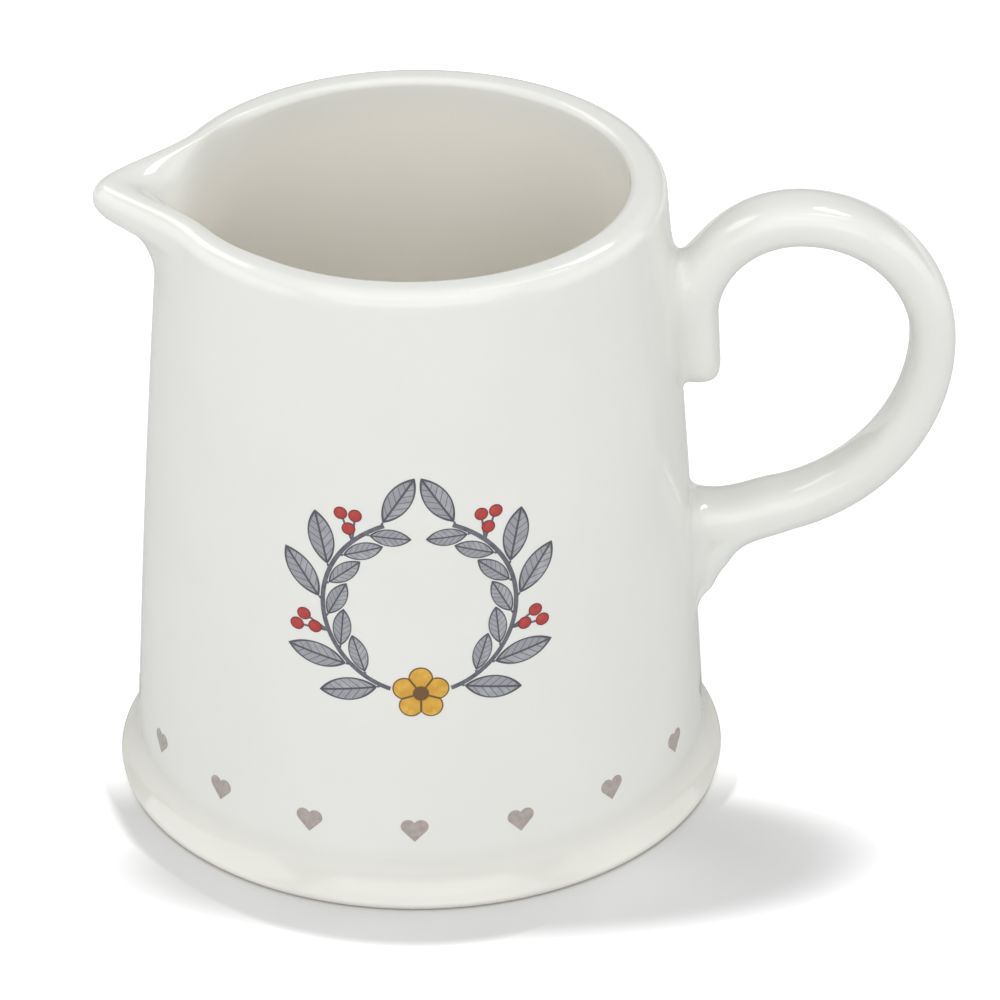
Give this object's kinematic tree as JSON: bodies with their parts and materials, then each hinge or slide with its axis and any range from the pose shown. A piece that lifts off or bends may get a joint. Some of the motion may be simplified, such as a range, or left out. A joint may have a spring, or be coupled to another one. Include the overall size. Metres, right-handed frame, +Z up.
{
  "type": "pitcher",
  "caption": "Tapered glazed stoneware pitcher with a flared foot, a pulled pouring lip, a looped strap handle, a printed wreath on its side and a ring of small hearts above the foot.",
  "frame": {"origin": "on the jug's axis, at the middle of the foot ring, on the table", "axes": "+Z up along the jug's axis, +X towards the handle and -X towards the pouring lip, -Y towards the printed side"},
  "size_m": [0.1547, 0.1128, 0.1195],
  "materials": {
    "stoneware_glaze": "clear gloss glaze over white stoneware",
    "heart_print": "warm grey print under the glaze",
    "stem_print": "dark slate grey print under the glaze",
    "leaf_print": "mid grey print under the glaze",
    "berry_print": "red print under the glaze",
    "flower_print": "ochre yellow print under the glaze"
  },
  "bodies": {
    "root": {"jug_body": "stoneware_glaze", "handle": "stoneware_glaze", "upper_slip_joint": "stoneware_glaze", "lower_slip_joint": "stoneware_glaze", "heart_transfers": "heart_print", "wreath_stems": "stem_print", "wreath_leaves": "leaf_print", "wreath_berries": "berry_print", "wreath_flowers": "flower_print"}
  },
  "joints": []
}
